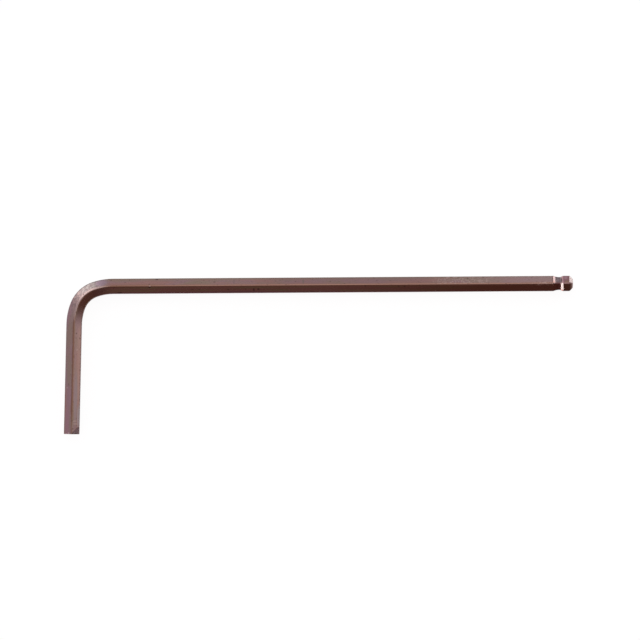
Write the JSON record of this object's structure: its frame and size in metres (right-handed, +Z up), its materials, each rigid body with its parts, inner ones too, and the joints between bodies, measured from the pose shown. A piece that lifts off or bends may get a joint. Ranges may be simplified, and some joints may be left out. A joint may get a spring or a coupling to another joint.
{
  "type": "hex key",
  "caption": "L-shaped hex key with a ball end on its long arm, bent from one length of hexagonal steel bar with a brown finish.",
  "frame": {"origin": "on the surface that the key lies on, under the centre of its bounding box", "axes": "+X along the long arm towards the ball end, +Y from the short arm's cropped end towards the long arm, +Z up, with an edge of the bar up and an edge down"},
  "size_m": [0.1342, 0.0408, 0.0045],
  "materials": {
    "brown_steel": "drawn and bent tool steel with a thin, semi-gloss brown finish, lightly mottled, with bright marks where the ball end is milled"
  },
  "bodies": {
    "root": {"hex_key": "brown_steel"}
  },
  "joints": []
}
